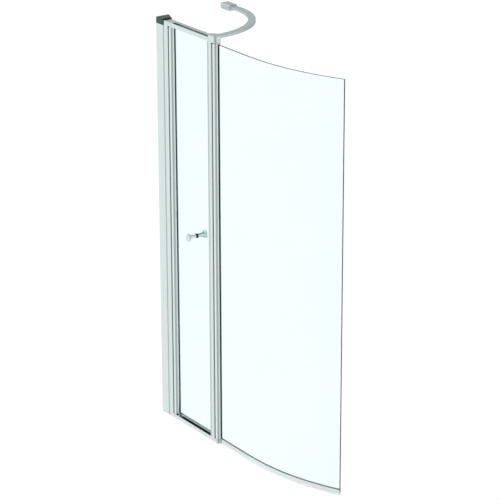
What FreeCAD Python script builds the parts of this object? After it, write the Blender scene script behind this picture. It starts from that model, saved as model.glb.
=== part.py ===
import FreeCAD, Part
import math
import os

from FreeCAD import Vector

os.makedirs("parts", exist_ok=True)

# Shower screen for a bath: a framed portal with a small door at the wall side,
# and a curved glass screen hinged on the portal's outer upright.
# X runs from the wall along the screen, Y towards the bath, Z up from the bath rim.

# Overall sizes
FRAME_TOP = 1425.0
FRAME_DEPTH = 30.0
FRAME_FRONT = -FRAME_DEPTH / 2
FRAME_REAR = FRAME_DEPTH / 2
RAIL_HEIGHT = 14.0
SILL_TOP = RAIL_HEIGHT
HEADER_TOP = FRAME_TOP + RAIL_HEIGHT
POST_RISE = 8.5
POST_TOP = HEADER_TOP + POST_RISE
GLASS = 6.0
PROFILE_WALL = 1.8
EDGE_ROUND = 0.8
PAST = 1.0

# Wall channel
CHANNEL_REACH = 41.5
CHANNEL_WEB = 2.5
CHANNEL_LEG = 2.0
CHANNEL_BASE_REAR = 36.0
CHANNEL_LIP = 4.5
CHANNEL_LIP_LENGTH = 9.0
CHANNEL_SHORT = 3.0
CHANNEL_TOP = FRAME_TOP - CHANNEL_SHORT
CAP_HEIGHT = 18.0
CAP_ROUND = 3.0
CAP_PLUG_DEPTH = 14.0
CAP_PLUG_GAP = 1.5
CAP_PLUG_SHORT = 3.0
WALL_HOLE_R = 2.6
WALL_HOLE_Y = 6.0
WALL_HOLE_SPACING = 560.0
WALL_HOLE_MID_Z = FRAME_TOP / 2

# Jamb
JAMB_START = 16.0
JAMB_SHOWN = 25.7
JAMB_END = CHANNEL_REACH + JAMB_SHOWN
SCREW_X = CHANNEL_REACH - 5.0
SCREW_END = 200.0
SCREW_LEVELS = (SILL_TOP + SCREW_END, FRAME_TOP - SCREW_END)
SCREW_R = 2.0
SCREW_STAND = 1.6
SCREW_LENGTH = 9.0

# Pivots and round hinge stiles
STILE_R = 13.5
STILE_SET = 0.3
STILE_WALL = 1.8
PIVOT_Y = FRAME_FRONT + STILE_SET + STILE_R
PIVOT_OVERHANG = 10.1
DOOR_PIVOT_X = JAMB_END + PIVOT_OVERHANG
RECESS_PLAY = 0.6
RECESS_R = STILE_R + RECESS_PLAY
GAP_SEAL_SET = 0.8
GAP_SEAL_DEPTH = 2.0
GAP_SEAL = 1.6
BUSH_R = 4.6
GASKET = 1.2
POCKET_HALF = GLASS / 2 + GASKET
POCKET_FLOOR = 6.2
GLASS_SET = 6.6
BEAD_END = 13.6
BUSH_STAND = 0.8
BUSH_STAND_TOP = 0.5
BUSH_LENGTH = 13.0
BUSH_PLAY = 0.05
PIN_R = 3.0
PIN_IN_BLOCK = 11.0
PIN_IN_BUSH = 10.0
PIVOT_FLOAT = 0.4

# Portal
HEADER_START = DOOR_PIVOT_X + 15.7
SILL_START = DOOR_PIVOT_X + 34.7
HEADER_LENGTH = 205.9
DOOR_OPENING_END = HEADER_START + HEADER_LENGTH
LOCK_START = DOOR_OPENING_END + 1.5
LOCK_WIDTH = 27.2
LOCK_END = LOCK_START + LOCK_WIDTH
LOCK_ROUND = 5.0
STOP_LENGTH = 10.0
STOP_Y = 9.0
STOP_SEAL_EDGE = 1.0
STOP_SEAL_GAP = 2.5
STOP_SEAL_CLEAR = 0.3
STOP_SEAL_SHORT = 2.0
RAIL_LIP = 2.0
GROOVE = 12.0
GROOVE_DEPTH = 7.0
TENON = 20.0
TENON_EDGE = 2.5
RAIL_TENON = 12.0

# Door
DOOR_GLASS_END = LOCK_START - 4.5
DOOR_CLEAR = 5.5
DOOR_CLEAR_TOP = 2.0
EDGE_SEAL_END = DOOR_GLASS_END + 2.3
EDGE_SEAL_WALL = 1.4
EDGE_SEAL_GRIP = 8.0
EDGE_SEAL_BEVEL = 1.0
KNOB_X = DOOR_GLASS_END - 86.0
KNOB_Z = 720.0

# Curved screen
SCREEN_PIVOT_X = LOCK_END + PIVOT_OVERHANG
POST_ROUND = PIVOT_Y - FRAME_FRONT
CURVE_START = SCREEN_PIVOT_X + 189.2
CURVE_RADIUS = 830.0
CURVE_ANGLE = 27.3
SCREEN_GLASS_TOP = FRAME_TOP - 5.0
SCREEN_GLASS_FOOT = 8.0
SEAL_HEIGHT = 20.0
SEAL_WALL = 1.4
FOOT_GAP = 1.2
SEAL_START = SCREEN_PIVOT_X + POST_ROUND + FOOT_GAP
SEAL_BRIDGE = 2.0
SEAL_SLOT_ANGLE = CURVE_ANGLE + 0.3
PLUG_END = 11.8

# Stay
BAR_WIDTH = 25.0
BAR_THICK = 8.0
BAR_PROUD = 1.5
BAR_X = SCREEN_PIVOT_X - 0.7
BAR_FRONT_Y = 0.0
BAR_STRAIGHT = 9.0
BAR_BEND_Y = BAR_FRONT_Y + BAR_STRAIGHT
BAR_WALL_Y = 261.0
BAR_RADIUS = BAR_WALL_Y - BAR_BEND_Y
BAR_TIP_X = 14.0
BAR_SCREW_R = 2.5
BAR_SCREW_Y = BAR_FRONT_Y + 6.5
BAR_SCREW_BITE = 6.0
BRACKET_LENGTH = 52.0
BRACKET_WIDTH = 32.0
BRACKET_BELOW = 8.0
BRACKET_ABOVE = 4.0
BRACKET_BACK = 6.0
BRACKET_BEVEL = 1.5
BRACKET_HOLE_R = 2.2
BRACKET_HOLE_SPACING = 14.0
GRUB_R = 2.5
GRUB_X = 30.0
COLLAR = 5.0
COLLAR_SIDE = 0.8
COLLAR_RIM = 2.5
COLLAR_SET = 3.5
POST_CAP = 2.0


def box(x0, x1, y0, y1, z0, z1):
    return Part.makeBox(x1 - x0, y1 - y0, z1 - z0, Vector(x0, y0, z0))


def upright(x, y, radius, z0, z1):
    return Part.makeCylinder(radius, z1 - z0, Vector(x, y, z0))


def rod_y(x, z, radius, y0, y1):
    return Part.makeCylinder(radius, y1 - y0, Vector(x, y0, z), Vector(0, 1, 0))


def rod_x(y, z, radius, x0, x1):
    return Part.makeCylinder(radius, x1 - x0, Vector(x0, y, z), Vector(1, 0, 0))


def prism(points, z0, z1):
    wire = Part.makePolygon([Vector(x, y, z0) for x, y in points] + [Vector(*points[0], z0)])
    return Part.Face(wire).extrude(Vector(0, 0, z1 - z0))


def plan_face(edges):
    return Part.Face(Part.Wire(Part.__sortEdges__(edges)))


def line(a, b):
    return Part.makeLine(Vector(a[0], a[1], 0), Vector(b[0], b[1], 0))


def arc(a, mid, b):
    return Part.Arc(Vector(a[0], a[1], 0), Vector(mid[0], mid[1], 0), Vector(b[0], b[1], 0)).toShape()


def raise_face(face, z0, z1):
    lifted = face.copy()
    lifted.translate(Vector(0, 0, z0))
    return lifted.extrude(Vector(0, 0, z1 - z0))


def edges_at(shape, test):
    return [e for e in shape.Edges if test(e)]


def upright_edges(shape, x, y):
    found = []
    for edge in shape.Edges:
        span = edge.BoundBox
        near = abs(span.Center.x - x) < 0.01 and abs(span.Center.y - y) < 0.01
        if near and span.ZLength > 1.0 and span.XLength < 0.01 and span.YLength < 0.01:
            found.append(edge)
    return found


def lies_at(edge, z):
    return abs(edge.BoundBox.ZMin - z) < 0.01 and abs(edge.BoundBox.ZMax - z) < 0.01


def save(name, shape):
    clean = shape.removeSplitter() if len(shape.Solids) == 1 else shape
    clean.exportStep("parts/" + name + ".step")


def group(shapes):
    return Part.makeCompound(shapes)


# Wall channel: straight front leg, rear leg that slants in to a thick lip, set screws that lock the jamb
front_leg = FRAME_FRONT - CHANNEL_LEG
rear_lip = FRAME_REAR + CHANNEL_LIP
lip_start = CHANNEL_REACH - CHANNEL_LIP_LENGTH
slant = (rear_lip - CHANNEL_BASE_REAR) / CHANNEL_REACH
slant_wall = CHANNEL_LEG * math.sqrt(1 + slant * slant)


def rear_leg(x):
    return CHANNEL_BASE_REAR + slant * x


outline = [
    (0, front_leg),
    (CHANNEL_REACH, front_leg),
    (CHANNEL_REACH, rear_lip),
    (0, CHANNEL_BASE_REAR),
]
hollow = [
    (CHANNEL_WEB, FRAME_FRONT),
    (CHANNEL_REACH, FRAME_FRONT),
    (CHANNEL_REACH, FRAME_REAR),
    (lip_start, FRAME_REAR),
    (lip_start, rear_leg(lip_start) - slant_wall),
    (CHANNEL_WEB, rear_leg(CHANNEL_WEB) - slant_wall),
]
channel = prism(outline, 0, CHANNEL_TOP).cut(prism(hollow, 0, CHANNEL_TOP))
for step in (-1, 0, 1):
    level = WALL_HOLE_MID_Z + step * WALL_HOLE_SPACING
    channel = channel.cut(rod_x(WALL_HOLE_Y, level, WALL_HOLE_R, -PAST, CHANNEL_WEB + PAST))
screw_end = rear_leg(SCREW_X) + SCREW_STAND
jamb_screws = [rod_y(SCREW_X, level, SCREW_R, FRAME_REAR, screw_end) for level in SCREW_LEVELS]
for screw in jamb_screws:
    channel = channel.cut(screw)
save("wall_channel", channel)
save("jamb_screws", group(jamb_screws))

# End cap: follows the channel's outline, rounded above, a skirt round the jamb's top,
# and a plug that sits against web and front leg
cap_top = FRAME_TOP + CAP_HEIGHT
cap = prism(outline, CHANNEL_TOP, cap_top)
cap_rims = edges_at(cap, lambda e: lies_at(e, cap_top) and e.BoundBox.XMax > CHANNEL_WEB)
cap = cap.makeFillet(CAP_ROUND, cap_rims).cut(prism(hollow, CHANNEL_TOP, FRAME_TOP))
plug = box(CHANNEL_WEB, JAMB_START - CAP_PLUG_GAP, FRAME_FRONT, FRAME_REAR - CAP_PLUG_SHORT,
           CHANNEL_TOP - CAP_PLUG_DEPTH, FRAME_TOP)
save("wall_channel_cap", cap.fuse(plug))

# Jamb: hollow upright, telescoped in the channel, its free side hollowed round the door's stile
jamb = box(JAMB_START, JAMB_END, FRAME_FRONT, FRAME_REAR, SILL_TOP, FRAME_TOP)
jamb = jamb.makeFillet(EDGE_ROUND, upright_edges(jamb, JAMB_END, FRAME_FRONT))
jamb_hollow = box(JAMB_START + PROFILE_WALL, JAMB_END - PROFILE_WALL, FRAME_FRONT + PROFILE_WALL,
                  FRAME_REAR - PROFILE_WALL, SILL_TOP, FRAME_TOP)


def recessed(profile, inside, pivot_x):
    recess = upright(pivot_x, PIVOT_Y, RECESS_R, SILL_TOP, FRAME_TOP)
    backing = upright(pivot_x, PIVOT_Y, RECESS_R + PROFILE_WALL, SILL_TOP, FRAME_TOP)
    return profile.cut(recess).cut(inside.cut(backing))


jamb = recessed(jamb, jamb_hollow, DOOR_PIVOT_X)

# Tenons of the corner blocks, pinned from the rear
BACKING_R = RECESS_R + PROFILE_WALL
JAMB_TENON_X = (CHANNEL_REACH + TENON_EDGE, DOOR_PIVOT_X - BACKING_R)
LOCK_TENON_X = (LOCK_START + PROFILE_WALL, SCREEN_PIVOT_X - BACKING_R)
TENON_Y = (FRAME_FRONT + LOCK_ROUND, FRAME_REAR - PROFILE_WALL)
corner_screw_z = (SILL_TOP + TENON / 2, FRAME_TOP - TENON / 2)
jamb_screw_x = sum(JAMB_TENON_X) / 2
lock_screw_x = sum(LOCK_TENON_X) / 2


def corner_screw(x, z):
    return rod_y(x, z, SCREW_R, FRAME_REAR - SCREW_LENGTH, FRAME_REAR)


for level in corner_screw_z:
    jamb = jamb.cut(corner_screw(jamb_screw_x, level))
save("jamb_profile", jamb)

# Rails of the portal: one section, groove near the front, hollow behind and below it
GROOVE_FRONT = FRAME_FRONT + RAIL_LIP
GROOVE_REAR = GROOVE_FRONT + GROOVE
RAIL_HOLLOW_Y = (GROOVE_REAR + RAIL_LIP, FRAME_REAR - RAIL_LIP)


def rail(start, z0, z1):
    body = box(start, DOOR_OPENING_END, FRAME_FRONT, FRAME_REAR, z0, z1)
    groove = box(start, DOOR_OPENING_END, GROOVE_FRONT, GROOVE_REAR, z1 - GROOVE_DEPTH, z1)
    rear = box(start, DOOR_OPENING_END, RAIL_HOLLOW_Y[0], RAIL_HOLLOW_Y[1], z0 + RAIL_LIP, z1 - RAIL_LIP)
    under = box(start, DOOR_OPENING_END, GROOVE_FRONT, GROOVE_REAR,
                z0 + RAIL_LIP, z1 - GROOVE_DEPTH - RAIL_LIP)
    return body.cut(groove).cut(rear).cut(under)


save("header_rail", rail(HEADER_START, FRAME_TOP, HEADER_TOP))
save("sill_rail", rail(SILL_START, 0, SILL_TOP))

# Rubber strip that fills the sill's groove under the door
strip = box(SILL_START, DOOR_OPENING_END, GROOVE_FRONT, GROOVE_REAR, SILL_TOP - GROOVE_DEPTH, SILL_TOP)
save("sill_strip", strip)


def rail_tenon(x0, x1, z0, z1):
    return box(x0, x1, RAIL_HOLLOW_Y[0], RAIL_HOLLOW_Y[1], z0 + RAIL_LIP, z1 - RAIL_LIP)


def tenon(span, inner, away):
    levels = sorted((inner, inner - away * TENON))
    return box(span[0], span[1], TENON_Y[0], TENON_Y[1], levels[0], levels[1])


def pin_seat(pivot_x, inner, away):
    levels = sorted((inner, inner + away * PIN_IN_BLOCK))
    return upright(pivot_x, PIVOT_Y, PIN_R, levels[0], levels[1])


# Hinge blocks: corner pieces at the wall side, bored for the door's pivot pins
def hinge_block(end, z0, z1, inner, away):
    block = box(CHANNEL_REACH, end, FRAME_FRONT, FRAME_REAR, z0, z1)
    block = block.fuse(tenon(JAMB_TENON_X, inner, away))
    block = block.fuse(rail_tenon(end, end + RAIL_TENON, z0, z1))
    block = block.cut(pin_seat(DOOR_PIVOT_X, inner, away))
    return block.cut(corner_screw(jamb_screw_x, inner - away * TENON / 2))


save("hinge_block_bottom", hinge_block(SILL_START, 0, SILL_TOP, SILL_TOP, -1))
save("hinge_block_top", hinge_block(HEADER_START, FRAME_TOP, HEADER_TOP, FRAME_TOP, 1))

# Stay bar: let into the post block, back over the bath, a quarter bend, into the wall socket
half = math.sqrt(0.5)
bar_high = POST_TOP + BAR_PROUD
bar_low = bar_high - BAR_THICK
bend_x = BAR_X - BAR_RADIUS
bend_y = BAR_BEND_Y
bar_outer = BAR_RADIUS + BAR_WIDTH / 2
bar_inner = BAR_RADIUS - BAR_WIDTH / 2
left_x = BAR_X - BAR_WIDTH / 2
right_x = BAR_X + BAR_WIDTH / 2
bar_edges = [
    line((left_x, BAR_FRONT_Y), (right_x, BAR_FRONT_Y)),
    line((right_x, BAR_FRONT_Y), (right_x, bend_y)),
    arc((right_x, bend_y), (bend_x + bar_outer * half, bend_y + bar_outer * half),
        (bend_x, bend_y + bar_outer)),
    line((bend_x, bend_y + bar_outer), (BAR_TIP_X, bend_y + bar_outer)),
    line((BAR_TIP_X, bend_y + bar_outer), (BAR_TIP_X, bend_y + bar_inner)),
    line((BAR_TIP_X, bend_y + bar_inner), (bend_x, bend_y + bar_inner)),
    arc((bend_x, bend_y + bar_inner), (bend_x + bar_inner * half, bend_y + bar_inner * half),
        (left_x, bend_y)),
    line((left_x, bend_y), (left_x, BAR_FRONT_Y)),
]
bar = raise_face(plan_face(bar_edges), bar_low, bar_high)

# Screw from below through the post block into the bar
bar_screw = upright(BAR_X, BAR_SCREW_Y, BAR_SCREW_R, FRAME_TOP, bar_low + BAR_SCREW_BITE)
save("stay_screw", bar_screw)
save("stay_bar", bar.cut(bar_screw))

# Post blocks: corner pieces over the lock stile, rounded about the screen's pivot
post_right = SCREEN_PIVOT_X + POST_ROUND
post_back = PIVOT_Y + POST_ROUND


def post_plan(start, left_end):
    return plan_face([
        line((start, FRAME_FRONT), (SCREEN_PIVOT_X, FRAME_FRONT)),
        arc((SCREEN_PIVOT_X, FRAME_FRONT), (post_right, PIVOT_Y), (SCREEN_PIVOT_X, post_back)),
        line((SCREEN_PIVOT_X, post_back), (SCREEN_PIVOT_X - POST_ROUND, FRAME_REAR)),
        line((SCREEN_PIVOT_X - POST_ROUND, FRAME_REAR), (start, FRAME_REAR)),
        left_end,
    ])


foot_end = line((DOOR_OPENING_END, FRAME_REAR), (DOOR_OPENING_END, FRAME_FRONT))
foot_plan = post_plan(DOOR_OPENING_END, foot_end)


def post_block(z0, z1, inner, away):
    block = raise_face(foot_plan, z0, z1)
    block = block.fuse(tenon(LOCK_TENON_X, inner, away))
    block = block.fuse(rail_tenon(DOOR_OPENING_END - RAIL_TENON, DOOR_OPENING_END, z0, z1))
    block = block.cut(pin_seat(SCREEN_PIVOT_X, inner, away))
    return block.cut(corner_screw(lock_screw_x, inner - away * TENON / 2))


save("post_block_bottom", post_block(0, SILL_TOP, SILL_TOP, -1))

# The top block runs the header's groove on to its raised post, rounded at both ends, with a flat cap
post_low = POST_TOP - POST_CAP
post_half = (FRAME_REAR - FRAME_FRONT) / 2
round_x = DOOR_OPENING_END + post_half
round_end = arc((round_x, FRAME_REAR), (DOOR_OPENING_END, FRAME_REAR - post_half), (round_x, FRAME_FRONT))
head_plan = post_plan(round_x, round_end)
groove_floor = HEADER_TOP - GROOVE_DEPTH
groove_end = box(DOOR_OPENING_END, round_x, GROOVE_FRONT, GROOVE_REAR, groove_floor, HEADER_TOP)
groove_end = groove_end.cut(raise_face(head_plan, groove_floor, HEADER_TOP))
post_top_block = post_block(FRAME_TOP, HEADER_TOP, FRAME_TOP, 1).cut(groove_end)
post_top_block = post_top_block.fuse(raise_face(head_plan, HEADER_TOP, post_low)).removeSplitter()
save("post_block_top", post_top_block.cut(bar).cut(bar_screw))
save("post_cap", raise_face(head_plan, post_low, POST_TOP).cut(bar))

# Lock stile: hollow upright, rounded in front, hollowed round the screen's stile, with a stop flange
lock = box(LOCK_START, LOCK_END, FRAME_FRONT, FRAME_REAR, SILL_TOP, FRAME_TOP)
lock = lock.makeFillet(LOCK_ROUND, upright_edges(lock, LOCK_START, FRAME_FRONT))
lock = lock.makeFillet(EDGE_ROUND, upright_edges(lock, LOCK_END, FRAME_FRONT))
lock_hollow = box(LOCK_START + PROFILE_WALL, LOCK_END - PROFILE_WALL, FRAME_FRONT + PROFILE_WALL,
                  FRAME_REAR - PROFILE_WALL, SILL_TOP, FRAME_TOP)
hollow_corner = upright_edges(lock_hollow, LOCK_START + PROFILE_WALL, FRAME_FRONT + PROFILE_WALL)
lock_hollow = lock_hollow.makeChamfer(LOCK_ROUND - PROFILE_WALL, hollow_corner)
flange = box(LOCK_START - STOP_LENGTH, LOCK_START + PROFILE_WALL, STOP_Y, STOP_Y + PROFILE_WALL,
             SILL_TOP, FRAME_TOP)
lock = recessed(lock, lock_hollow, SCREEN_PIVOT_X).fuse(flange)
for level in corner_screw_z:
    lock = lock.cut(corner_screw(lock_screw_x, level))
save("lock_stile", lock)
edge_seal_half = GLASS / 2 + EDGE_SEAL_WALL
save("lock_stile_seal", box(LOCK_START - STOP_LENGTH + STOP_SEAL_EDGE, LOCK_START - STOP_SEAL_GAP,
                            edge_seal_half + STOP_SEAL_CLEAR, STOP_Y,
                            SILL_TOP + STOP_SEAL_SHORT, FRAME_TOP - STOP_SEAL_SHORT))
corner_screws = [corner_screw(x, z) for x in (jamb_screw_x, lock_screw_x) for z in corner_screw_z]
save("corner_screws", group(corner_screws))

# Dark strips on the uprights' edges, in front of the round stiles
gap_seal_y = FRAME_FRONT + GAP_SEAL_SET
for name, face_x in (("hinge_gap_seal", JAMB_END), ("screen_gap_seal", LOCK_END)):
    save(name, box(face_x, face_x + GAP_SEAL, gap_seal_y, gap_seal_y + GAP_SEAL_DEPTH, SILL_TOP, FRAME_TOP))

# Pivot pins, pressed in the blocks
pins = []
for pivot_x in (DOOR_PIVOT_X, SCREEN_PIVOT_X):
    pins.append(upright(pivot_x, PIVOT_Y, PIN_R, SILL_TOP - PIN_IN_BLOCK, SILL_TOP + PIN_IN_BUSH))
    pins.append(upright(pivot_x, PIVOT_Y, PIN_R, FRAME_TOP - PIN_IN_BUSH, FRAME_TOP + PIN_IN_BLOCK))
save("pivot_pins", group(pins))

# Hinge stiles: round tubes, with a core that holds the bushes in the middle and the glass on one side
stile_foot = SILL_TOP + BUSH_STAND
bush_top = FRAME_TOP - PIVOT_FLOAT
stile_top = bush_top - BUSH_STAND_TOP


def hinge_stile(pivot_x):
    def round_bar(radius):
        return upright(pivot_x, PIVOT_Y, radius, stile_foot, stile_top)

    def pocket(floor, side):
        return box(pivot_x + floor, pivot_x + STILE_R, -side, side, stile_foot, stile_top)

    core = pocket(-BUSH_R - STILE_WALL, POCKET_HALF + STILE_WALL)
    chamber = round_bar(STILE_R - STILE_WALL).cut(core)
    return round_bar(STILE_R).cut(chamber).cut(pocket(POCKET_FLOOR, POCKET_HALF)).cut(round_bar(BUSH_R))


def bush(pivot_x, z0, z1):
    bore = upright(pivot_x, PIVOT_Y, PIN_R + BUSH_PLAY, z0, z1)
    return upright(pivot_x, PIVOT_Y, BUSH_R, z0, z1).cut(bore)


def bushes(pivot_x):
    levels = ((SILL_TOP, stile_foot + BUSH_LENGTH), (stile_top - BUSH_LENGTH, bush_top))
    return group([bush(pivot_x, z0, z1) for z0, z1 in levels])


def gasket(pivot_x, z0, z1):
    strips = []
    for side in (-1, 1):
        span = sorted((side * GLASS / 2, side * POCKET_HALF))
        strips.append(box(pivot_x + POCKET_FLOOR, pivot_x + BEAD_END, span[0], span[1], z0, z1))
    return group(strips)


save("door_hinge_stile", hinge_stile(DOOR_PIVOT_X))
save("screen_hinge_stile", hinge_stile(SCREEN_PIVOT_X))
save("door_pivot_bushes", bushes(DOOR_PIVOT_X))
save("screen_pivot_bushes", bushes(SCREEN_PIVOT_X))

# Door leaf
door_foot = stile_foot + DOOR_CLEAR
door_top = stile_top - DOOR_CLEAR_TOP
KNOB_HOLE_R = 5.0
door_glass = box(DOOR_PIVOT_X + GLASS_SET, DOOR_GLASS_END, -GLASS / 2, GLASS / 2, door_foot, door_top)
save("door_glass", door_glass.cut(rod_y(KNOB_X, KNOB_Z, KNOB_HOLE_R, -GLASS, GLASS)))
save("door_gasket", gasket(DOOR_PIVOT_X, door_foot, door_top))
edge_seal = box(DOOR_GLASS_END - EDGE_SEAL_GRIP, EDGE_SEAL_END, -edge_seal_half, edge_seal_half,
                door_foot, door_top)
seal_corners = [e for side in (-1, 1) for e in upright_edges(edge_seal, EDGE_SEAL_END, side * edge_seal_half)]
edge_seal = edge_seal.makeChamfer(EDGE_SEAL_BEVEL, seal_corners)
edge_slot = box(DOOR_GLASS_END - EDGE_SEAL_GRIP, DOOR_GLASS_END, -GLASS / 2, GLASS / 2, door_foot, door_top)
save("door_edge_seal", edge_seal.cut(edge_slot))

# Door knob: two turned knobs on one stud through the glass, each on a soft washer
WASHER = 1.2
WASHER_R = 8.0
STUD_R = 3.0
STUD_IN_KNOB = 14.0
KNOB_NECK_R = 7.5
KNOB_HEAD_R = 14.0
KNOB_HEAD = 5.0
KNOB_LENGTH = 33.5


def turned(profile, side):
    points = [Vector(KNOB_X + r, side * y, KNOB_Z) for r, y in profile]
    wire = Part.makePolygon(points + [points[0]])
    return Part.Face(wire).revolve(Vector(KNOB_X, 0, KNOB_Z), Vector(0, 1, 0), 360)


knob_seat = GLASS / 2 + WASHER
knob_tip = knob_seat + KNOB_LENGTH
head_back = knob_tip - KNOB_HEAD
knob_profile = [
    (0, knob_seat),
    (KNOB_NECK_R, knob_seat),
    (KNOB_NECK_R, head_back),
    (KNOB_HEAD_R, head_back),
    (KNOB_HEAD_R, knob_tip),
    (0, knob_tip),
]
stud = rod_y(KNOB_X, KNOB_Z, STUD_R, -knob_seat - STUD_IN_KNOB, knob_seat + STUD_IN_KNOB)
save("knob_stud", stud)
save("knob_front", turned(knob_profile, -1).cut(stud))
save("knob_rear", turned(knob_profile, 1).cut(stud))
washers = []
for side in (-1, 1):
    faces = sorted((side * GLASS / 2, side * knob_seat))
    washers.append(rod_y(KNOB_X, KNOB_Z, WASHER_R, faces[0], faces[1]).cut(stud))
save("knob_washers", group(washers))

# Curved screen: straight by the stile, then bent to one radius towards the bath
bend = math.radians(CURVE_ANGLE)
centre_y = CURVE_RADIUS


def curve_point(offset, angle):
    r = CURVE_RADIUS - offset
    return (CURVE_START + r * math.sin(angle), centre_y - r * math.cos(angle))


def curved_plan(x_start, front, rear, end):
    return plan_face([
        line((x_start, front), (CURVE_START, front)),
        arc((CURVE_START, front), curve_point(front, end / 2), curve_point(front, end)),
        line(curve_point(front, end), curve_point(rear, end)),
        arc(curve_point(rear, end), curve_point(rear, end / 2), (CURVE_START, rear)),
        line((CURVE_START, rear), (x_start, rear)),
        line((x_start, rear), (x_start, front)),
    ])


glass_plan = curved_plan(SCREEN_PIVOT_X + GLASS_SET, -GLASS / 2, GLASS / 2, bend)
curved_glass = raise_face(glass_plan, SCREEN_GLASS_FOOT, SCREEN_GLASS_TOP)
block_notch = box(SCREEN_PIVOT_X, SEAL_START, -GLASS, GLASS, SCREEN_GLASS_FOOT, stile_foot)
save("curved_glass", curved_glass.cut(block_notch))
save("screen_gasket", gasket(SCREEN_PIVOT_X, stile_foot, SCREEN_GLASS_TOP))

# Plug of the pocket above the glass
save("screen_pocket_plug", box(SCREEN_PIVOT_X + POCKET_FLOOR, SCREEN_PIVOT_X + PLUG_END,
                               -POCKET_HALF, POCKET_HALF, SCREEN_GLASS_TOP, stile_top))

# Bottom seal: clips on the glass and stands on the rim with two lips
seal_half = GLASS / 2 + SEAL_WALL
seal_slot = curved_plan(SEAL_START - PAST, -GLASS / 2, GLASS / 2, math.radians(SEAL_SLOT_ANGLE))
seal = raise_face(curved_plan(SEAL_START, -seal_half, seal_half, bend), 0, SEAL_HEIGHT)
seal = seal.cut(raise_face(seal_slot, SCREEN_GLASS_FOOT, SEAL_HEIGHT))
seal = seal.cut(raise_face(seal_slot, 0, SCREEN_GLASS_FOOT - SEAL_BRIDGE))
save("screen_bottom_seal", seal)

# Wall bracket: socket for the bar, screwed to the wall through its back
bracket_low = bar_low - BRACKET_BELOW
bracket_high = bar_high + BRACKET_ABOVE
bar_mid_z = (bar_low + bar_high) / 2
bracket_y = (BAR_WALL_Y - BRACKET_WIDTH / 2, BAR_WALL_Y + BRACKET_WIDTH / 2)
bar_y = (BAR_WALL_Y - BAR_WIDTH / 2, BAR_WALL_Y + BAR_WIDTH / 2)
bracket = box(0, BRACKET_LENGTH, bracket_y[0], bracket_y[1], bracket_low, bracket_high)
long_edges = edges_at(bracket, lambda e: e.BoundBox.XLength > BRACKET_LENGTH / 2)
bracket = bracket.makeChamfer(BRACKET_BEVEL, long_edges)
bracket = bracket.cut(box(BRACKET_BACK, BRACKET_LENGTH, bar_y[0], bar_y[1], bar_low, bar_high))
collar_x = BRACKET_LENGTH - COLLAR_SET
collar = box(collar_x, collar_x + COLLAR, bar_y[0] - COLLAR_SIDE, bar_y[1] + COLLAR_SIDE,
             bar_low - COLLAR_RIM, bar_high + COLLAR_RIM)
bracket = bracket.cut(collar)
for side in (-1, 1):
    hole_y = BAR_WALL_Y + side * BRACKET_HOLE_SPACING / 2
    bracket = bracket.cut(rod_x(hole_y, bar_mid_z, BRACKET_HOLE_R, -PAST, BRACKET_BACK + PAST))
grub = upright(GRUB_X, BAR_WALL_Y, GRUB_R, bracket_low, bar_low)
save("stay_wall_bracket", bracket.cut(grub))
save("stay_grub_screw", grub)
bar_passage = box(collar_x, collar_x + COLLAR, bar_y[0], bar_y[1], bar_low, bar_high)
save("stay_collar", collar.cut(bar_passage))
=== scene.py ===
import math

import bmesh
import bpy
from mathutils import Matrix, Vector


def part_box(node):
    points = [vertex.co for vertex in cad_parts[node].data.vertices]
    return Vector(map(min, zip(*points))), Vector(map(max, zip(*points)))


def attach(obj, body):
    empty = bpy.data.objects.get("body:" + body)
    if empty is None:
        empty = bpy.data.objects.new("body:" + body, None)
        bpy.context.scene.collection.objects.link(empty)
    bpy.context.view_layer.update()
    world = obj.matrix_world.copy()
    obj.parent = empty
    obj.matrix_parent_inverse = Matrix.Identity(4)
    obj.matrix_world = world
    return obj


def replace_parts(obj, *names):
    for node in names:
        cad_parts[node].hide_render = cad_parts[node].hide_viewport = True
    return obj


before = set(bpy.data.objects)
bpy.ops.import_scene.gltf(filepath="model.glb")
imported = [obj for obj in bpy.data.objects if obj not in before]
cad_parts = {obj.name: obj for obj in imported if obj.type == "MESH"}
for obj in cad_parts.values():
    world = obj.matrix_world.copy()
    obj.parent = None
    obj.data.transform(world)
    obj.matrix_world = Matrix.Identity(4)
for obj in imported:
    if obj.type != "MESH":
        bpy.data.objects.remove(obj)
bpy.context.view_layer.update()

X_AXIS = (1.0, 0.0, 0.0)
Y_AXIS = (0.0, 1.0, 0.0)
Z_AXIS = (0.0, 0.0, 1.0)

# A hair's breadth that picks out a face by its level, and the distance at which two points are one
SKIN = 0.0003
MERGE = 0.00001

# The uprights are drawn along Z and the rails along X, so their fine lines are stretched that way
UPRIGHT = (900.0, 900.0, 5.0)
RAIL = (5.0, 900.0, 900.0)
CAST = (160.0, 160.0, 160.0)
EVEN = (1.0, 1.0, 1.0)

# Sizes of the small pieces, in metres, with their angles in radians
SCREW_RADIUS = 0.002
SCREW_SIDES = 24
SOCKET_SHARE = 0.55
SOCKET_DEPTH = 0.0012
PAD_WIDTH = 0.0042
PAD_HEIGHT = 0.0050
PAD_THICK = 0.0007
STOP_RADIUS = 0.0025
STOP_SIDES = 32
STOP_HEIGHT = 0.0040
STOP_CLEAR = 0.0003
STOP_TURN = math.radians(-42.0)
KNOB_FOOT_RADIUS = 0.0060
KNOB_WAIST_RADIUS = 0.0082
KNOB_HEAD_LENGTH = 0.0050
KNOB_RIM = 0.0009
KNOB_RIM_ANGLE = 0.6
KNOB_SIDES = 64

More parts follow.
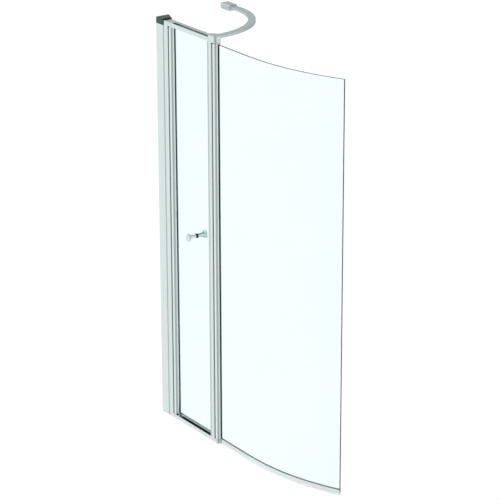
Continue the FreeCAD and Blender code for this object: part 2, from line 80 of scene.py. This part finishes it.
# Widths of the lines and shades on the profiles, panes and seals, in metres
CHANNEL_STEP = 0.003
GAP_SHADOW_HEIGHT = 0.0030
GAP_SHADOW_REACH = 0.0138
LIP_BAND_WIDTH = 0.0014
SEAL_LINE = 0.0013
SEAL_END = 0.0030
LOCK_FLANGE = 0.010
LOCK_EDGE_SHADED = 0.007
LOCK_EDGE_FADE = 0.0145
CAP_SHADE_SIDE = 0.002
CAP_SHADE_FRONT = 0.001
GLASS_EDGE_LINE = 0.0010
GLASS_FOOT_LINE = 0.0011

# Colours of those lines and shades
CORNER_PAINTED_LIGHT = (0.81, 0.895, 0.895, 1.0)
GAP_SHADOW_BLACK = (0.010, 0.013, 0.013, 1.0)
BEAD_DARK = (0.12, 0.14, 0.14, 1.0)
LOCK_EDGE_PAINTED_SHADE = (0.50, 0.55, 0.555, 1.0)
GROOVE_PAINTED_SHADE = (0.20, 0.26, 0.26, 1.0)
BED_PAINTED_SHADE = (0.70, 0.76, 0.76, 1.0)
LIP_BLACK_BAND = (0.02, 0.025, 0.025, 1.0)
CAP_SIDE_SHADE_BLACK = (0.003, 0.004, 0.004, 1.0)
COLLAR_SIDE_PAINTED_LIGHT = (0.70, 0.76, 0.76, 1.0)
GLASS_EDGE_PAINTED_SHADE = (0.010, 0.020, 0.018, 1.0)
SEAL_END_GREY = (0.35, 0.40, 0.40, 1.0)
SEAL_LINE_PAINTED_SHADE = (0.04, 0.06, 0.06, 1.0)

# Roughness that the bar's satin sides add to its polish
SATIN = 0.45

# Heading of the curved pane's free end, in degrees from the screen's line
GLASS_END = 27.3

# Studio: each wall of light is strongest at its heading, in degrees, and eases off between two cosines
SKY_DIM = 0.44
SKY_SHADE = (0.0, 0.06, 0.06, 1.0)
SKY_WHITE = (1.0, 1.0, 1.0, 1.0)
SKY_ZENITH = 0.35
ZENITH_EASE = (0.40, 0.95)
LEFT_WALL = -148.0
LEFT_EASE = (0.42, 0.75)
RIGHT_WALL = 24.0
RIGHT_EASE = (0.46, 0.77)
REAR_GLOW = (-0.767, 0.541, 0.345)
REAR_EASE = (0.80, 0.97)
REAR_LIFT = 0.13
FLOOR_LEVEL = -0.56
FLOOR_REACH = 30.0
LAMP_ENERGY = 2.32
LAMP_SPREAD = math.radians(80.0)
LAMP_DIRECTION = (0.3, 0.5, -0.8)

# Camera: from the room, at the screen's free end, with a long lens in millimetres
CAMERA_PLACE = (6.4976, -4.1370, 3.4362)
CAMERA_TILT = math.radians(69.8)
CAMERA_TURN = math.radians(54.8)
CAMERA_SENSOR = 36.0
CAMERA_LENS = 169.704
CAMERA_SHIFT = -0.038
CAMERA_REACH = 200.0


def heading(degrees):
    """A level direction, turned from X towards Y."""
    turn = math.radians(degrees)
    return (math.cos(turn), math.sin(turn), 0.0)


class Signal:
    """A value that varies over a finish. Expressions on signals become shader maths."""

    def __init__(self, finish, socket):
        self.finish = finish
        self.socket = socket

    def maths(self, operation, first, second=0.0):
        return self.finish.node("ShaderNodeMath", {"operation": operation}, {0: first, 1: second})

    def __add__(self, other):
        return self.maths("ADD", self, other)

    __radd__ = __add__

    def __sub__(self, other):
        return self.maths("SUBTRACT", self, other)

    def __rsub__(self, other):
        return self.maths("SUBTRACT", other, self)

    def __mul__(self, other):
        return self.maths("MULTIPLY", self, other)

    __rmul__ = __mul__

    def __gt__(self, other):
        return self.maths("GREATER_THAN", self, other)

    def __lt__(self, other):
        return self.maths("LESS_THAN", self, other)

    def __or__(self, other):
        return self.maths("MAXIMUM", self, other)

    __ror__ = __or__

    def __and__(self, other):
        return self.maths("MINIMUM", self, other)

    __rand__ = __and__


class Finish:
    """The nodes of one material, or of the studio's sky."""

    def __init__(self, block):
        block.use_nodes = True
        self.block = block
        self.tree = block.node_tree
        self.tree.nodes.clear()

    def node(self, kind, settings=None, sockets=None, out=0):
        made = self.tree.nodes.new(kind)
        for key, value in (settings or {}).items():
            setattr(made, key, value)
        for key, value in (sockets or {}).items():
            if isinstance(value, Signal):
                self.tree.links.new(value.socket, made.inputs[key])
            else:
                made.inputs[key].default_value = value
        return Signal(self, made.outputs[out]) if made.outputs else None

    def place(self):
        return self.node("ShaderNodeTexCoord", out="Object")

    def along(self, direction, where=None):
        return self.node("ShaderNodeVectorMath", {"operation": "DOT_PRODUCT"},
                         {0: where or self.place(), 1: direction}, out="Value")

    def noise(self, stretch, scale=1.0, detail=2.0):
        stretched = self.node("ShaderNodeMapping", None, {"Vector": self.place(), "Scale": stretch})
        return self.node("ShaderNodeTexNoise", None,
                         {"Vector": stretched, "Scale": scale, "Detail": detail})

    def blend(self, share, first, second):
        return self.node("ShaderNodeMix", {"data_type": "RGBA"},
                         {"Factor": share, 6: first, 7: second}, out=2)

    def ease(self, value, start, end):
        return self.node("ShaderNodeMapRange", {"interpolation_type": "SMOOTHSTEP"},
                         {"Value": value, "From Min": start, "From Max": end})

    def relief(self, height, strength, depth):
        return self.node("ShaderNodeBump", None,
                         {"Height": height, "Strength": strength, "Distance": depth})

    def surface(self, **sockets):
        named = {key.replace("_", " "): value for key, value in sockets.items()}
        shader = self.node("ShaderNodeBsdfPrincipled", None, named)
        self.node("ShaderNodeOutputMaterial", None, {"Surface": shader})
        return self.block


def new_finish(name):
    return Finish(bpy.data.materials.new(name))


def drawn_aluminium(name, along, dark, light, gloss, shade=None):
    finish = new_finish(name)
    lines = finish.noise(along, 1.0, 3.0)
    clouds = finish.noise(EVEN, 14.0, 2.0)
    colour = finish.blend(lines * 0.6 + clouds * 0.4, dark, light)
    if shade:
        colour = shade(finish, colour)
    roughness = gloss + (lines - 0.5) * 0.14 + (clouds - 0.5) * 0.08
    normal = finish.relief(lines, 0.12, 0.0002)
    return finish.surface(Base_Color=colour, Metallic=1.0, Roughness=roughness, Normal=normal)


def channel_corner_painted_light(finish, colour):
    """Painted light: the channel's edge and the jamb close beside it are painted brighter than the rest,
    lifting the shade in the corner between them.
    """
    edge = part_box("wall_channel")[1].x
    x = finish.along(X_AXIS)
    return finish.blend((x > edge - SKIN) & (x < edge + CHANNEL_STEP), colour, CORNER_PAINTED_LIGHT)


def stile_gap_painted_shadow(finish, colour, node):
    """Painted shadow: the stile's upper end is painted black on the hinge side, for the shade in the gap
    under the top block.
    """
    low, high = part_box(node)
    shadow_mask = (finish.along(Z_AXIS) > high.z - GAP_SHADOW_HEIGHT) & (finish.along(X_AXIS) < low.x + GAP_SHADOW_REACH)
    return finish.blend(shadow_mask, colour, GAP_SHADOW_BLACK)


# Painted shadow at the upper end of the door's stile, on the hinge side
def door_stile_gap_shadow(finish, colour):
    return stile_gap_painted_shadow(finish, colour, "door_hinge_stile")


def screen_stile_lap_and_shadow(finish, colour):
    """The screen's gasket also laps darkly over the end of its stile's bead, and the stile's upper end gets
    the painted shadow too.
    """
    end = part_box("screen_hinge_stile")[1].x
    colour = finish.blend(finish.along(X_AXIS) > end - SKIN, colour, BEAD_DARK)
    return stile_gap_painted_shadow(finish, colour, "screen_hinge_stile")


def lock_edge_painted_shade(finish, colour):
    """Painted shade: the lock stile is painted darker towards the edge that the door closes against, for the
    shade along its rounded edge.
    """
    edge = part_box("lock_stile")[0].x + LOCK_FLANGE
    share = finish.ease(finish.along(X_AXIS), edge + LOCK_EDGE_SHADED, edge + LOCK_EDGE_FADE)
    return finish.blend(share, LOCK_EDGE_PAINTED_SHADE, colour)


def rail_groove_painted_shade(finish, colour):
    """Painted shade: the header's groove is painted darker inside, up to the post, and so is the sill's bed
    behind the strip.

    In front, a thin black band is painted on the sill's lip along the strip, widening the strip's dark line.
    """
    groove_low, groove_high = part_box("sill_strip")
    header_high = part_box("header_rail")[1]
    depth = groove_high.z - groove_low.z
    x = finish.along(X_AXIS)
    y = finish.along(Y_AXIS)
    z = finish.along(Z_AXIS)
    post_low, post_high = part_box("post_cap")
    before_post = x < (post_low.x + post_high.x) / 2
    within = (y > groove_low.y) & (y < groove_high.y) & before_post
    in_header = within & (z < header_high.z - SKIN) & (z > header_high.z - depth - SKIN)
    sill_top = (z > groove_high.z - SKIN) & (z < groove_high.z + SKIN)
    behind = (y > groove_high.y) & sill_top
    beside = (x > groove_low.x) & (x < groove_high.x)
    lip_band = (y > groove_low.y - LIP_BAND_WIDTH) & (y < groove_low.y) & beside & sill_top
    colour = finish.blend(in_header, colour, GROOVE_PAINTED_SHADE)
    colour = finish.blend(behind, colour, BED_PAINTED_SHADE)
    return finish.blend(lip_band, colour, LIP_BLACK_BAND)


def polished_chrome(name, dark, light, satin_below=None):
    """Bright on top; below the given level the sides keep a satin face."""
    finish = new_finish(name)
    smudge = finish.noise(EVEN, 60.0, 4.0)
    colour = finish.blend(smudge, dark, light)
    roughness = 0.06 + smudge * 0.10
    if satin_below:
        roughness = roughness + (finish.along(Z_AXIS) < satin_below) * SATIN
    return finish.surface(Base_Color=colour, Metallic=1.0, Roughness=roughness)


def brushed_steel(name):
    finish = new_finish(name)
    turned = finish.noise(EVEN, 700.0, 2.0)
    colour = finish.blend(turned, (0.42, 0.44, 0.45, 1.0), (0.60, 0.62, 0.63, 1.0))
    normal = finish.relief(turned, 0.1, 0.0001)
    return finish.surface(Base_Color=colour, Metallic=1.0, Roughness=0.25 + turned * 0.2, Normal=normal)


def moulded_plastic(name, dark, light, gloss, sheen=0.5, shade=None):
    finish = new_finish(name)
    grain = finish.noise(EVEN, 1400.0, 2.0)
    clouds = finish.noise(EVEN, 35.0, 2.0)
    colour = finish.blend(grain * 0.5 + clouds * 0.5, dark, light)
    if shade:
        colour = shade(finish, colour)
    normal = finish.relief(grain, 0.25, 0.0002)
    return finish.surface(Base_Color=colour, Roughness=gloss + (grain - 0.5) * 0.2, Normal=normal,
                          Specular_IOR_Level=sheen)


def cap_side_painted_shade(finish, colour):
    """Painted shade: the cap's inner side, away from the light, is painted black."""
    low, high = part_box("wall_channel_cap")
    side_shade = (finish.along(X_AXIS) > high.x - CAP_SHADE_SIDE) & (finish.along(Y_AXIS) > low.y + CAP_SHADE_FRONT)
    return finish.blend(side_shade, colour, CAP_SIDE_SHADE_BLACK)


def collar_side_painted_light(finish, colour):
    """The collar is black plastic on top; its sides are painted pale, painted light where light falls on
    them.
    """
    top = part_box("stay_collar")[1].z
    return finish.blend(finish.along(Z_AXIS) < top - SKIN, colour, COLLAR_SIDE_PAINTED_LIGHT)


def pane(name, node, end, dark, light, foot_line=SKIN):
    finish = new_finish(name)
    low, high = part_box(node)
    reach = max(Vector(end).dot(corner.co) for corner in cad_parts[node].data.vertices)
    z = finish.along(Z_AXIS)
    # The pane's top, foot and free end are ground rougher, and painted dark there as painted shade
    ground_and_shaded_edge = (z > high.z - SKIN) | (z < low.z + foot_line) | (finish.along(end) > reach - GLASS_EDGE_LINE)
    haze = finish.noise(EVEN, 4.0, 2.0)
    face = finish.blend(haze, dark, light)
    colour = finish.blend(ground_and_shaded_edge, face, GLASS_EDGE_PAINTED_SHADE)
    return finish.surface(Base_Color=colour, Roughness=ground_and_shaded_edge * 0.25, Transmission_Weight=1.0, IOR=1.5)


def clear_strip(name, dark, light, seal=None):
    finish = new_finish(name)
    streaks = finish.noise(UPRIGHT, 1.0, 2.0)
    clouds = finish.noise(EVEN, 25.0, 2.0)
    colour = finish.blend(clouds * 0.5 + streaks * 0.5, dark, light)
    if seal:
        start, top = seal[0].x, seal[1].z
        colour = finish.blend(finish.along(X_AXIS) < start + SEAL_END, colour, SEAL_END_GREY)
        # Painted shade: a dark line along the seal's top, under the glass
        colour = finish.blend(finish.along(Z_AXIS) > top - SEAL_LINE, colour, SEAL_LINE_PAINTED_SHADE)
    normal = finish.relief(streaks, 0.08, 0.0002)
    return finish.surface(Base_Color=colour, Roughness=0.28 + streaks * 0.2, Transmission_Weight=0.35,
                          IOR=1.45, Normal=normal)


UPRIGHT_GLOSS = 0.24
RAIL_GLOSS = 0.28
CAST_GLOSS = 0.30
SILVER_DARK = (0.685, 0.757, 0.757, 1.0)
SILVER_LIGHT = (0.75, 0.828, 0.828, 1.0)
BRIGHT_DARK = (0.78, 0.865, 0.865, 1.0)
BRIGHT_LIGHT = (0.85, 0.935, 0.935, 1.0)
upright_aluminium = drawn_aluminium("upright_aluminium", UPRIGHT, SILVER_DARK, SILVER_LIGHT,
                                    UPRIGHT_GLOSS, channel_corner_painted_light)
stile_aluminium = drawn_aluminium("stile_aluminium", UPRIGHT, BRIGHT_DARK, BRIGHT_LIGHT,
                                  UPRIGHT_GLOSS, door_stile_gap_shadow)
bead_aluminium = drawn_aluminium("bead_aluminium", UPRIGHT, BRIGHT_DARK, BRIGHT_LIGHT,
                                 UPRIGHT_GLOSS, screen_stile_lap_and_shadow)
lock_aluminium = drawn_aluminium("lock_aluminium", UPRIGHT, SILVER_DARK, SILVER_LIGHT,
                                 UPRIGHT_GLOSS, lock_edge_painted_shade)
rail_aluminium = drawn_aluminium("rail_aluminium", RAIL, SILVER_DARK, SILVER_LIGHT, RAIL_GLOSS, rail_groove_painted_shade)
cast_aluminium = drawn_aluminium("cast_aluminium", CAST, SILVER_DARK, SILVER_LIGHT, CAST_GLOSS, rail_groove_painted_shade)
bar_chrome = polished_chrome("bar_chrome", (0.56, 0.65, 0.645, 1.0), (0.62, 0.71, 0.705, 1.0),
                             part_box("stay_bar")[1].z - SKIN)
knob_chrome = polished_chrome("knob_chrome", (0.66, 0.72, 0.72, 1.0), (0.74, 0.80, 0.80, 1.0))
screw_steel = brushed_steel("screw_steel")
cap_plastic = moulded_plastic("cap_plastic", (0.050, 0.072, 0.072, 1.0), (0.066, 0.094, 0.093, 1.0), 0.5,
                              0.10, cap_side_painted_shade)
black_rubber = moulded_plastic("black_rubber", (0.003, 0.005, 0.005, 1.0), (0.008, 0.012, 0.012, 1.0), 0.6,
                               0.08)
gap_rubber = moulded_plastic("gap_rubber", (0.17, 0.19, 0.19, 1.0), (0.23, 0.25, 0.25, 1.0), 0.6, 0.2)
collar_plastic = moulded_plastic("collar_plastic", (0.006, 0.009, 0.009, 1.0), (0.014, 0.02, 0.02, 1.0), 0.5,
                                 0.2, collar_side_painted_light)
grey_plastic = moulded_plastic("grey_plastic", (0.50, 0.55, 0.55, 1.0), (0.60, 0.65, 0.65, 1.0), 0.40)
door_pane = pane("door_pane", "door_glass", X_AXIS, (0.876, 0.985, 0.957, 1.0), (0.888, 0.993, 0.967, 1.0),
                 GLASS_FOOT_LINE)
curved_pane = pane("curved_pane", "curved_glass", heading(GLASS_END), (0.892, 0.986, 0.962, 1.0),
                   (0.904, 0.994, 0.972, 1.0))
edge_strip = clear_strip("edge_strip", (0.70, 0.75, 0.75, 1.0), (0.80, 0.85, 0.85, 1.0))
foot_strip = clear_strip("foot_strip", (0.85, 0.90, 0.90, 1.0), (0.93, 0.96, 0.96, 1.0),
                         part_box("screen_bottom_seal"))

finishes = {
    upright_aluminium: ["wall_channel", "jamb_profile"],
    lock_aluminium: ["lock_stile"],
    stile_aluminium: ["door_hinge_stile"],
    bead_aluminium: ["screen_hinge_stile"],
    rail_aluminium: ["header_rail", "sill_rail"],
    cast_aluminium: ["hinge_block_top", "hinge_block_bottom", "post_block_top", "post_block_bottom",
                     "post_cap"],
    bar_chrome: ["stay_bar", "stay_wall_bracket"],
    knob_chrome: ["knob_front", "knob_rear"],
    screw_steel: ["jamb_screws", "corner_screws", "pivot_pins", "stay_screw", "stay_grub_screw", "knob_stud"],
    cap_plastic: ["wall_channel_cap"],
    black_rubber: ["sill_strip", "door_gasket", "screen_gasket", "knob_washers", "door_pivot_bushes",
                   "screen_pivot_bushes"],
    gap_rubber: ["hinge_gap_seal", "screen_gap_seal"],
    collar_plastic: ["stay_collar"],
    grey_plastic: ["screen_pocket_plug"],
    door_pane: ["door_glass"],
    curved_pane: ["curved_glass"],
    edge_strip: ["door_edge_seal", "lock_stile_seal"],
    foot_strip: ["screen_bottom_seal"],
}
for material, nodes in finishes.items():
    for node in nodes:
        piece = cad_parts[node]
        piece.data.materials.clear()
        piece.data.materials.append(material)

# The clear panes throw no shadow on the pale floor
for node in ("door_glass", "curved_glass"):
    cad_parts[node].visible_shadow = False


def add_piece(name, form, material, body=None):
    mesh = bpy.data.meshes.new(name)
    bmesh.ops.recalc_face_normals(form, faces=form.faces)
    form.to_mesh(mesh)
    form.free()
    mesh.materials.append(material)
    piece = bpy.data.objects.new(name, mesh)
    bpy.context.scene.collection.objects.link(piece)
    if body:
        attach(piece, body)
    return piece


def knob(name, node, out):
    """A turned knob: narrow foot on the glass, waist that widens to a flat round head."""
    low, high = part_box(node)
    centre = (low + high) / 2
    seat = high.y if out < 0 else low.y
    length = high.y - low.y
    head = (high.x - low.x) / 2
    profile = [
        (0.0, 0.0),
        (KNOB_FOOT_RADIUS, 0.0),
        (KNOB_WAIST_RADIUS, length - KNOB_HEAD_LENGTH),
        (head, length - KNOB_HEAD_LENGTH),
        (head, length),
        (0.0, length),
    ]
    form = bmesh.new()
    corners = []
    for radius, far in profile:
        corners.append(form.verts.new((centre.x + radius, seat + out * far, centre.z)))
    for first, second in zip(corners, corners[1:]):
        form.edges.new((first, second))
    bmesh.ops.spin(form, geom=form.verts[:] + form.edges[:], cent=(centre.x, seat, centre.z),
                   axis=Y_AXIS, angle=math.tau, steps=KNOB_SIDES, use_merge=True)
    bmesh.ops.remove_doubles(form, verts=form.verts, dist=MERGE)
    bmesh.ops.recalc_face_normals(form, faces=form.faces)
    rims = [edge for edge in form.edges if edge.is_manifold and edge.calc_face_angle() > KNOB_RIM_ANGLE]
    bmesh.ops.bevel(form, geom=rims, offset=KNOB_RIM, affect="EDGES", segments=3, profile=0.5,
                    material=-1)
    for face in form.faces:
        face.smooth = True
    piece = add_piece(name, form, knob_chrome, "door")
    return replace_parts(piece, node)


knob("turned_knob_front", "knob_front", -1)
knob("turned_knob_rear", "knob_rear", 1)


def socket_screw(form, tip, inward, length, radius):
    """A headless screw with a hexagon socket, its face at tip and its shank running inward."""
    shank = bmesh.ops.create_cone(form, cap_ends=True, segments=SCREW_SIDES, radius1=radius, radius2=radius,
                                  depth=length)
    verts = shank["verts"]
    top = max(corner.co.z for corner in verts)
    faces = {face for corner in verts for face in corner.link_faces}
    face = next(face for face in faces if all(corner.co.z > top - MERGE for corner in face.verts))
    bmesh.ops.inset_individual(form, faces=[face], thickness=radius * (1.0 - SOCKET_SHARE))
    for corner in face.verts:
        turn = math.atan2(corner.co.y, corner.co.x) % (math.pi / 3) - math.pi / 6
        flat = radius * SOCKET_SHARE / math.cos(turn) / Vector(corner.co.xy).length
        corner.co.x *= flat
        corner.co.y *= flat
    sunk = bmesh.ops.extrude_discrete_faces(form, faces=[face])["faces"][0]
    bmesh.ops.translate(form, vec=(0.0, 0.0, -SOCKET_DEPTH), verts=sunk.verts)
    # Two rings of faces beyond the shank's ends and the socket's floor hold every corner of this screw
    screw = set(verts) | set(sunk.verts)
    for ring in range(2):
        faces = {face for corner in screw for face in corner.link_faces}
        screw |= {corner for face in faces for corner in face.verts}
    screw = list(screw)
    facing = Vector((0.0, 0.0, -1.0)).rotation_difference(Vector(inward)).to_matrix().to_4x4()
    bmesh.ops.translate(form, vec=(0.0, 0.0, -length / 2), verts=screw)
    bmesh.ops.transform(form, matrix=Matrix.Translation(tip) @ facing, verts=screw)


def rear_screws(name, node, columns):
    """The screws of one group, put in from the bath side, dressed with sockets."""
    low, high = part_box(node)
    form = bmesh.new()
    for x in columns:
        for z in (low.z + SCREW_RADIUS, high.z - SCREW_RADIUS):
            tip = Vector((x, high.y, z))
            socket_screw(form, tip, (0.0, -1.0, 0.0), high.y - low.y, SCREW_RADIUS)
    piece = add_piece(name, form, screw_steel, "frame")
    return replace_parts(piece, node)


corner_low, corner_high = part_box("corner_screws")
corner_columns = (corner_low.x + SCREW_RADIUS, corner_high.x - SCREW_RADIUS)
rear_screws("socket_corner_screws", "corner_screws", corner_columns)
jamb_low, jamb_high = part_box("jamb_screws")
rear_screws("socket_jamb_screws", "jamb_screws", ((jamb_low.x + jamb_high.x) / 2,))

grub_low, grub_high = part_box("stay_grub_screw")
grub_tip = Vector(((grub_low.x + grub_high.x) / 2, (grub_low.y + grub_high.y) / 2, grub_low.z))
grub_form = bmesh.new()
socket_screw(grub_form, grub_tip, Z_AXIS, grub_high.z - grub_low.z, (grub_high.x - grub_low.x) / 2)
grub = add_piece("socket_grub_screw", grub_form, screw_steel, "frame")
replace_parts(grub, "stay_grub_screw")

# Black rubber stop on the lower hinge block, close beside the door's round stile; its black also stands in
# for the shade at the stile's foot
stile_low, stile_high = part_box("door_hinge_stile")
stile_radius = (stile_high.y - stile_low.y) / 2
stop_reach = stile_radius + STOP_CLEAR + STOP_RADIUS
stop_seat = Vector((stile_low.x + stile_radius + stop_reach * math.cos(STOP_TURN),
                    (stile_low.y + stile_high.y) / 2 + stop_reach * math.sin(STOP_TURN),
                    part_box("sill_rail")[1].z + STOP_HEIGHT / 2))
stop_form = bmesh.new()
bmesh.ops.create_cone(stop_form, cap_ends=True, segments=STOP_SIDES, radius1=STOP_RADIUS,
                      radius2=STOP_RADIUS, depth=STOP_HEIGHT)
stop_rim = [edge for edge in stop_form.edges if all(corner.co.z > 0.0 for corner in edge.verts)]
bmesh.ops.bevel(stop_form, geom=stop_rim, offset=STOP_CLEAR, affect="EDGES", segments=2, profile=0.5,
                material=-1)
bmesh.ops.translate(stop_form, vec=stop_seat, verts=stop_form.verts)
add_piece("block_stop_shadow_dot", stop_form, black_rubber, "frame")

# Black pads at the tops of the strips beside the stiles, under the top blocks, standing in for the shade in
# the gaps there
for name, node in (("hinge_gap_shadow_pad", "hinge_gap_seal"), ("screen_gap_shadow_pad", "screen_gap_seal")):
    seal_low, seal_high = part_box(node)
    pad_size = Vector((PAD_WIDTH, PAD_THICK, PAD_HEIGHT))
    pad_corner = Vector((seal_low.x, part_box("header_rail")[0].y, seal_high.z - PAD_HEIGHT))
    pad_form = bmesh.new()
    bmesh.ops.create_cube(pad_form, size=1.0)
    bmesh.ops.scale(pad_form, vec=pad_size, verts=pad_form.verts)
    bmesh.ops.translate(pad_form, vec=pad_corner + pad_size / 2, verts=pad_form.verts)
    add_piece(name, pad_form, black_rubber, "frame")

# Pale floor, two walls of light, a glow behind and one very wide lamp
floor_form = bmesh.new()
bmesh.ops.create_grid(floor_form, x_segments=1, y_segments=1, size=FLOOR_REACH)
bmesh.ops.translate(floor_form, vec=(0.0, 0.0, FLOOR_LEVEL), verts=floor_form.verts)
paper = new_finish("studio_paper")
fibres = paper.noise(EVEN, 3.0, 2.0)
floor_colour = paper.blend(fibres, (0.93, 0.93, 0.93, 1.0), (0.95, 0.95, 0.95, 1.0))
floor = add_piece("studio_floor", floor_form, paper.surface(Base_Color=floor_colour, Roughness=0.9))
floor.visible_glossy = False

sky = Finish(bpy.data.worlds.new("studio_sky"))
look = sky.node("ShaderNodeTexCoord", out="Generated")
left = sky.ease(sky.along(heading(LEFT_WALL), look), *LEFT_EASE)
right = sky.ease(sky.along(heading(RIGHT_WALL), look), *RIGHT_EASE)
rear = sky.ease(sky.along(REAR_GLOW, look), *REAR_EASE)
above = sky.ease(sky.along(Z_AXIS, look), *ZENITH_EASE)
light = (SKY_DIM + (left | right) * (1.0 - SKY_DIM) + rear * REAR_LIFT) * (1.0 - above * SKY_ZENITH)
glow = sky.node("ShaderNodeBackground", None, {"Color": sky.blend(light, SKY_SHADE, SKY_WHITE)})
sky.node("ShaderNodeOutputWorld", None, {"Surface": glow})
bpy.context.scene.world = sky.block

lamp_data = bpy.data.lights.new("studio_lamp", "SUN")
lamp_data.energy = LAMP_ENERGY
lamp_data.angle = LAMP_SPREAD
lamp = bpy.data.objects.new("studio_lamp", lamp_data)
lamp.rotation_euler = Vector(LAMP_DIRECTION).to_track_quat("-Z", "Y").to_euler()
lamp.visible_glossy = False
bpy.context.scene.collection.objects.link(lamp)

camera_data = bpy.data.cameras.new("camera")
camera_data.sensor_width = CAMERA_SENSOR
camera_data.lens = CAMERA_LENS
camera_data.shift_x = CAMERA_SHIFT
camera_data.clip_end = CAMERA_REACH
camera = bpy.data.objects.new("camera", camera_data)
camera.location = CAMERA_PLACE
camera.rotation_euler = (CAMERA_TILT, 0.0, CAMERA_TURN)
bpy.context.scene.collection.objects.link(camera)
bpy.context.scene.camera = camera
bpy.context.scene.view_settings.view_transform = "Standard"
